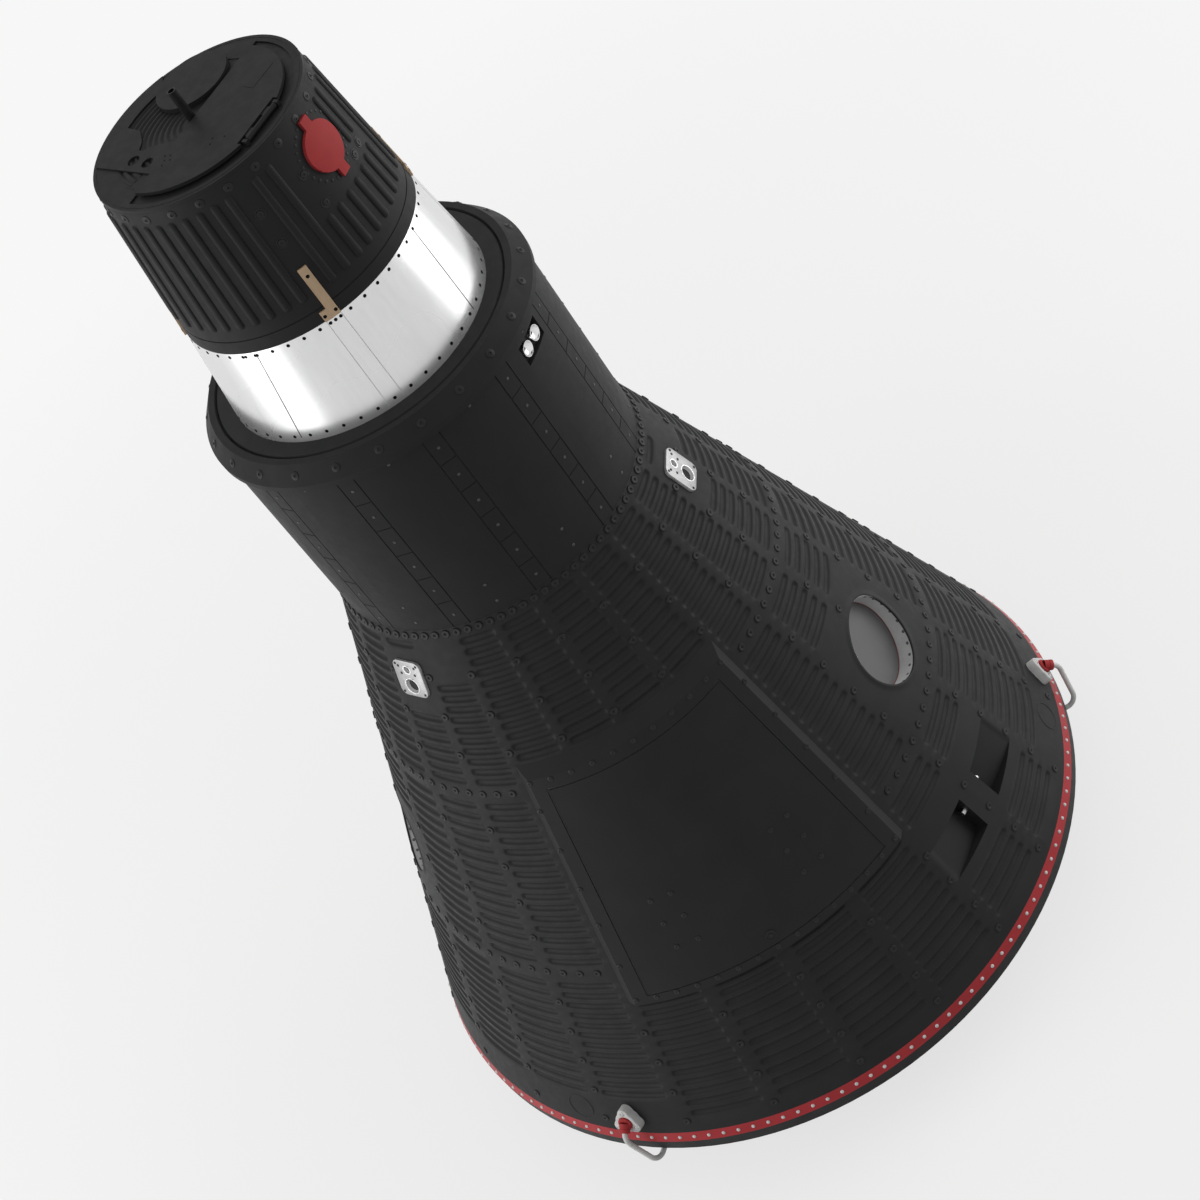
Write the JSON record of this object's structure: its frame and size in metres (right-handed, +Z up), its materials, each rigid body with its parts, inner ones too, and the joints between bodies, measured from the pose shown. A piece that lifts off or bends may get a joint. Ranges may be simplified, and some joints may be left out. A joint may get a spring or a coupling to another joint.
{
  "type": "space capsule",
  "caption": "Crewed space capsule with a blunt heat shield, conical cabin, lift-off side hatch, portholes, recovery section and antenna section with a hinged flap.",
  "frame": {"origin": "on the axis, at the lowest point of the heat shield", "axes": "+Z up along the axis of the capsule, -Y out of the side hatch, +X to the right of someone who faces the hatch"},
  "size_m": [1.9145, 1.8918, 3.0361],
  "materials": {
    "shingle": "matt, oxidised",
    "upper_skin": "satin",
    "ablator": "matt",
    "red_paint": "matt",
    "red_cover": "matt",
    "bare_metal": "brushed",
    "band_metal": "gloss",
    "tan_metal": "matt",
    "white_clamp": "satin",
    "cable_sheath": "satin",
    "pane": "clear",
    "cabin_paint": "matt",
    "couch_pad": "woven",
    "black_plastic": "matt"
  },
  "bodies": {
    "capsule": {"heat_shield": "ablator", "shield_ring": "ablator", "base_ring": "red_paint", "lower_front_wall": "shingle", "lower_right_wall": "shingle", "lower_rear_wall": "shingle", "lower_left_wall": "shingle", "middle_front_wall": "shingle", "middle_right_wall": "shingle", "middle_rear_wall": "shingle", "middle_left_wall": "shingle", "upper_front_wall": "shingle", "upper_right_wall": "shingle", "upper_rear_wall": "shingle", "upper_left_wall": "shingle", "hatch_frame": "shingle", "side_window_frame": "bare_metal", "side_window_pane": "pane", "head_window_frame": "bare_metal", "head_window_pane": "pane", "thruster_plates": "bare_metal", "roll_jets": "bare_metal", "cabin_floor": "cabin_paint", "forward_bulkhead": "cabin_paint", "couch": "couch_pad", "couch_frame": "bare_metal", "instrument_panel": "cabin_paint", "equipment_racks": "cabin_paint", "hand_controllers": "black_plastic", "recovery_section": "upper_skin", "yaw_jets": "bare_metal", "clamp_flange": "upper_skin", "bright_band": "band_metal", "antenna_section": "upper_skin", "top_deck": "upper_skin", "flap_hinge": "upper_skin", "air_data_tube": "ablator", "round_cover": "upper_skin", "scanner_cover": "red_cover", "antenna_brackets": "tan_metal", "umbilical_clamps": "white_clamp", "umbilical_plugs": "red_cover", "cable_front": "cable_sheath", "cable_right": "cable_sheath", "cable_rear": "cable_sheath", "cable_clips": "ablator"},
    "hatch": {"hatch": "shingle"},
    "flap": {"flap": "upper_skin"}
  },
  "joints": [
    {"name": "hatch_lift_off", "type": "slide", "parent": "capsule", "child": "hatch", "axis": [0, -0.9404, 0.34], "range_m": [0, 0.5]},
    {"name": "flap_hinge", "type": "hinge", "parent": "capsule", "child": "flap", "pos_m": [0.12313, -0.1664, 2.96214], "axis": [0.8039, 0.5948, 0], "range_deg": [0, 90]}
  ]
}
